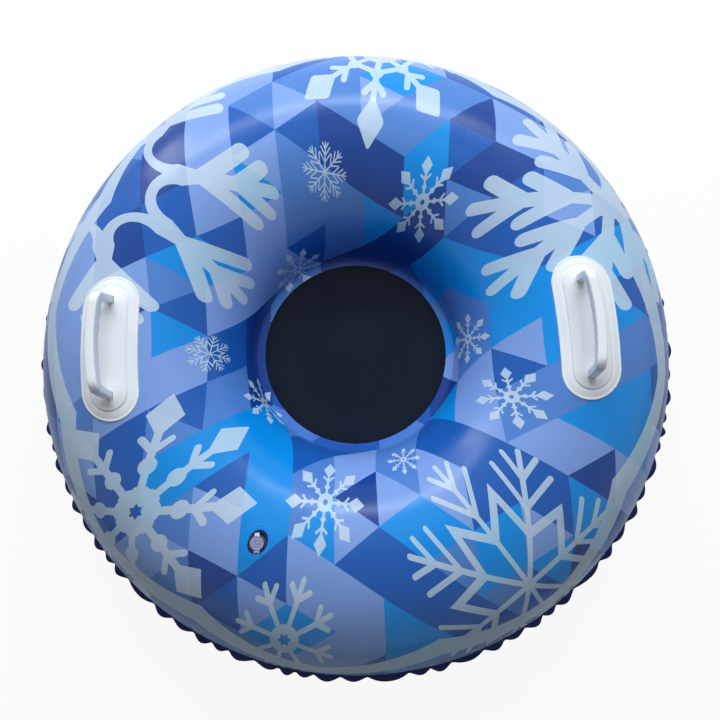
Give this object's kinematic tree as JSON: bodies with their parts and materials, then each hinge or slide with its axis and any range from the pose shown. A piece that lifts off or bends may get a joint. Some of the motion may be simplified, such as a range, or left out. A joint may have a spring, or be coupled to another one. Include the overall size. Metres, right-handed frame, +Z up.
{
  "type": "inflatable snow tube",
  "caption": "Round inflatable snow tube with a printed top skin, a dark running skin, a closed seat disc, a grab handle on each side and a sunken air valve.",
  "frame": {"origin": "on the ground, under the middle of the ring", "axes": "+Z up, +X towards the right handle, +Y towards the far side from the valve, as the tube lies ready to sit on"},
  "size_m": [0.8696, 0.8696, 0.3406],
  "materials": {
    "printed_sheet": "glossy printed vinyl sheet",
    "dark_sheet": "satin dark vinyl sheet",
    "seat_sheet": "satin black vinyl sheet",
    "white_moulding": "soft satin moulded vinyl",
    "clear_moulding": "clear soft moulded vinyl"
  },
  "bodies": {
    "tube": {"top_skin": "printed_sheet", "bottom_skin": "dark_sheet", "seat_disc": "seat_sheet", "left_handle_base": "white_moulding", "right_handle_base": "white_moulding", "valve_base": "clear_moulding"},
    "left_grip": {"left_handle_grip": "white_moulding"},
    "right_grip": {"right_handle_grip": "white_moulding"},
    "stem": {"valve_stem": "clear_moulding"},
    "plug": {"valve_plug": "clear_moulding"},
    "flap": {"valve_flap": "clear_moulding"}
  },
  "joints": [
    {"name": "left_grip_lean", "type": "hinge", "parent": "tube", "child": "left_grip", "pos_m": [-0.29551, -0.01807, 0.28765], "axis": [0.0351, -0.9994, -0.0029], "range_deg": [-20, 20], "stiffness_Nm_per_rad": 2},
    {"name": "right_grip_lean", "type": "hinge", "parent": "tube", "child": "right_grip", "pos_m": [0.28096, 0.00736, 0.28854], "axis": [-0.075, 0.9972, 0.0003], "range_deg": [-20, 20], "stiffness_Nm_per_rad": 2},
    {"name": "stem_pull", "type": "slide", "parent": "tube", "child": "stem", "axis": [0, 0, 1], "range_m": [0, 0.012]},
    {"name": "plug_open", "type": "hinge", "parent": "stem", "child": "plug", "pos_m": [-0.11362, -0.26127, 0.28417], "axis": [1, 0, 0], "range_deg": [0, 90]},
    {"name": "flap_open", "type": "hinge", "parent": "stem", "child": "flap", "pos_m": [-0.11362, -0.25867, 0.25607], "axis": [-1, 0, 0], "range_deg": [0, 45], "stiffness_Nm_per_rad": 0.0005, "springref_deg": -5.73}
  ]
}
